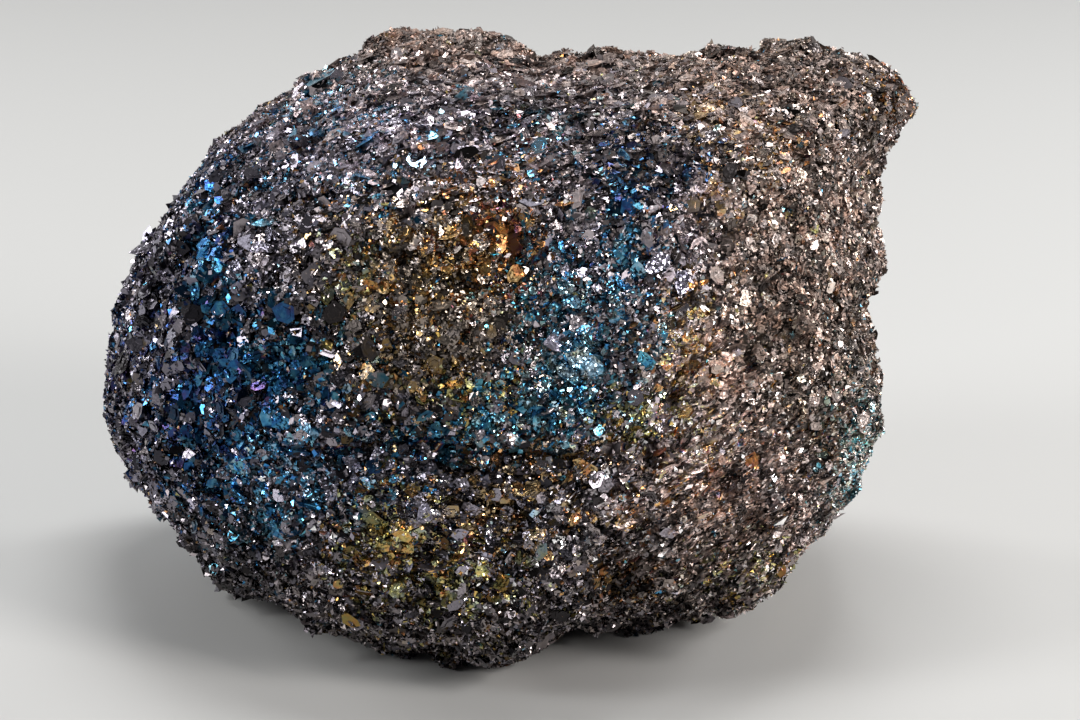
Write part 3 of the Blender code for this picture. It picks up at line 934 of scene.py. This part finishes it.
def vectors(tree, operation, first, second=None, scale=None):
    """Two vectors or outputs put together."""
    node = tree.nodes.new("ShaderNodeVectorMath")
    node.operation = operation
    feed(tree, node.inputs[0], first)
    if second is not None:
        feed(tree, node.inputs[1], second)
    if scale is not None:
        feed(tree, node.inputs["Scale"], scale)
    return node.outputs["Vector"]


def blended(tree, share, first, second):
    """Two colours blended by a share."""
    node = tree.nodes.new("ShaderNodeMix")
    node.data_type = "RGBA"
    for socket, value in zip(MIX_INPUTS, (share, first, second)):
        feed(tree, node.inputs[socket], value)
    return node.outputs[MIX_OUTPUT]


def place_in(tree):
    """Where a point lies in the specimen."""
    return tree.nodes.new("ShaderNodeTexCoord").outputs["Object"]


def grain(tree, size, detail):
    """Noise of that size in millimetres, from 0 to 1."""
    texture = tree.nodes.new("ShaderNodeTexNoise")
    texture.inputs["Scale"].default_value = 1.0 / (size * METRES)
    texture.inputs["Detail"].default_value = detail
    tree.links.new(place_in(tree), texture.inputs["Vector"])
    return texture.outputs["Fac"]


def speckle(tree, size):
    """Noise of that size with strong contrast, from 0 to 1."""
    low, high = SPECK_RANGE
    spread = tree.nodes.new("ShaderNodeMapRange")
    spread.inputs["From Min"].default_value = low
    spread.inputs["From Max"].default_value = high
    tree.links.new(grain(tree, size, SPECK_DETAIL), spread.inputs["Value"])
    return spread.outputs["Result"]


def centred(tree, value, reach):
    """A value from 0 to 1 moved and scaled to reach as far below 0 as above."""
    return maths(tree, "MULTIPLY", maths(tree, "SUBTRACT", value, MIDDLE), reach)


def film_ramp(tree, film):
    """The film's colour at a place on its scale."""
    ramp = tree.nodes.new("ShaderNodeValToRGB")
    stops = ramp.color_ramp.elements
    while len(stops) < len(FILM_COLOURS):
        stops.new(MIDDLE)
    for stop, (place, colour) in zip(stops, FILM_COLOURS):
        stop.position = place
        stop.color = (*colour, 1.0)
    tree.links.new(film, ramp.inputs["Fac"])
    return ramp.outputs["Color"]


def crinkled_normal(tree, size, tilt):
    """The surface's normal, tipped at random in each small cell, as on a crinkled crystal face."""
    cells = tree.nodes.new("ShaderNodeTexVoronoi")
    cells.inputs["Scale"].default_value = 1.0 / (size * METRES)
    tree.links.new(place_in(tree), cells.inputs["Vector"])
    tip = vectors(tree, "SUBTRACT", cells.outputs["Color"], (MIDDLE, MIDDLE, MIDDLE))
    tip = vectors(tree, "SCALE", tip, scale=tilt)
    normal = tree.nodes.new("ShaderNodeNewGeometry").outputs["Normal"]
    return vectors(tree, "NORMALIZE", vectors(tree, "ADD", normal, tip))


def metal_colour(tree, fine):
    """The colour of bare and tarnished crystals, whose film strays with the fine and the broad grain."""
    film = carried(tree, "film")
    broad = grain(tree, *BROAD_GRAIN)
    stray = maths(tree, "ADD", centred(tree, fine, FINE_STRAY), centred(tree, broad, BROAD_STRAY))
    tarnished = maths(tree, "GREATER_THAN", film, LEAST_FILM)
    film = maths(tree, "ADD", film, maths(tree, "MULTIPLY", stray, tarnished))
    tint = blended(tree, carried(tree, "warmth"), COOLEST, WARMEST)
    return vectors(tree, "MULTIPLY", film_ramp(tree, film), tint)


def rock_colour(tree):
    """The colour of the matte rock, with dark and light specks and rusty spots."""
    rock = blended(tree, speckle(tree, SPECK_SIZE), MATTE_DARK, MATTE_LIGHT)
    rust = blended(tree, speckle(tree, RUST_SIZE), UNCHANGED, RUSTY)
    return vectors(tree, "MULTIPLY", rock, rust)


def crystal_material(name, brightness, matte_roughness):
    """Specular hematite: metallic in steel grey and film colours, or matte mauve-brown."""
    material, tree, shader = new_material(name)
    fine = grain(tree, *FINE_GRAIN)
    matte = carried(tree, "matte")
    mottled = maths(tree, "ADD", maths(tree, "MULTIPLY", fine, MOTTLING), MOTTLED_LEAST)
    shade = maths(tree, "MULTIPLY", maths(tree, "MULTIPLY", carried(tree, "shade"), mottled), brightness)
    metal = vectors(tree, "SCALE", metal_colour(tree, fine), scale=shade)
    rock = vectors(tree, "SCALE", rock_colour(tree), scale=shade)
    feed(tree, shader.inputs["Base Color"], blended(tree, matte, metal, rock))
    metallic = maths(tree, "SUBTRACT", METALLIC, maths(tree, "MULTIPLY", matte, METALLIC_LOSS))
    feed(tree, shader.inputs["Metallic"], metallic)
    satin = maths(tree, "MULTIPLY", carried(tree, "satin"), SATIN_ROUGHNESS)
    rough = maths(tree, "ADD", satin, GLOSSY_ROUGHNESS)
    rough = maths(tree, "ADD", rough, maths(tree, "MULTIPLY", matte, matte_roughness))
    feed(tree, shader.inputs["Roughness"], rough)
    feed(tree, shader.inputs["Normal"], crinkled_normal(tree, CRINKLE, carried(tree, "crinkle")))
    return material


def soft_box(name, place, width, height, power, colour):
    """A rectangular soft light at a place, turned to the specimen."""
    light = bpy.data.lights.new(name, "AREA")
    light.shape = "RECTANGLE"
    light.size = width
    light.size_y = height
    light.energy = power
    light.color = colour
    lamp = bpy.data.objects.new(name, light)
    lamp.location = place
    lamp.rotation_euler = (LIT_POINT - Vector(place)).to_track_quat("-Z", "Y").to_euler()
    bpy.context.scene.collection.objects.link(lamp)


def light_scene():
    """Soft boxes from the left, the right, above and behind, and a dim surround."""
    for box in SOFT_BOXES:
        soft_box(*box)
    world = bpy.data.worlds.new("surround")
    world.use_nodes = True
    background = world.node_tree.nodes["Background"]
    background.inputs["Color"].default_value = SURROUND_COLOUR
    background.inputs["Strength"].default_value = SURROUND_STRENGTH
    bpy.context.scene.world = world


def make_floor():
    """A plain pale floor."""
    bpy.ops.mesh.primitive_plane_add(size=FLOOR_SIZE, location=(0.0, 0.0, 0.0))
    floor = bpy.context.object
    floor.name = "floor"
    material, _, shader = new_material("floor")
    shader.inputs["Base Color"].default_value = FLOOR_COLOUR
    shader.inputs["Roughness"].default_value = FLOOR_ROUGHNESS
    floor.data.materials.append(material)


def make_camera():
    """The camera at the front view."""
    camera = bpy.data.cameras.new("camera")
    camera.lens = CAMERA_LENS
    eye = bpy.data.objects.new("camera", camera)
    eye.location = CAMERA_TARGET - Vector(AWAY) * CAMERA_DISTANCE
    eye.rotation_euler = Euler((math.pi / 2.0 - VIEW_ELEVATION, 0.0, 0.0))
    bpy.context.scene.collection.objects.link(eye)
    bpy.context.scene.camera = eye


def make_specimen():
    """The ground and everything that grows from it."""
    rng = np.random.default_rng(SEED)
    solid = solid_mesh()
    surface = Surface(solid)
    groups = [place_singles(surface, rng), place_shadow_plates(surface, rng)]
    groups += [grow(kind, surface, rng) for kind in KINDS]
    link_piece("ground", make_ground(solid, rng), crystal_material("ground_mass", *GROUND_LOOK))
    look = crystal_material("hematite_crystals", *CRYSTAL_LOOK)
    for number, part in enumerate(sectors(groups), start=1):
        name = f"flakes_{number}"
        link_piece(name, joined_mesh(name, part), look)


make_camera()
light_scene()
make_floor()
make_specimen()
bpy.context.scene.view_settings.view_transform = "Standard"
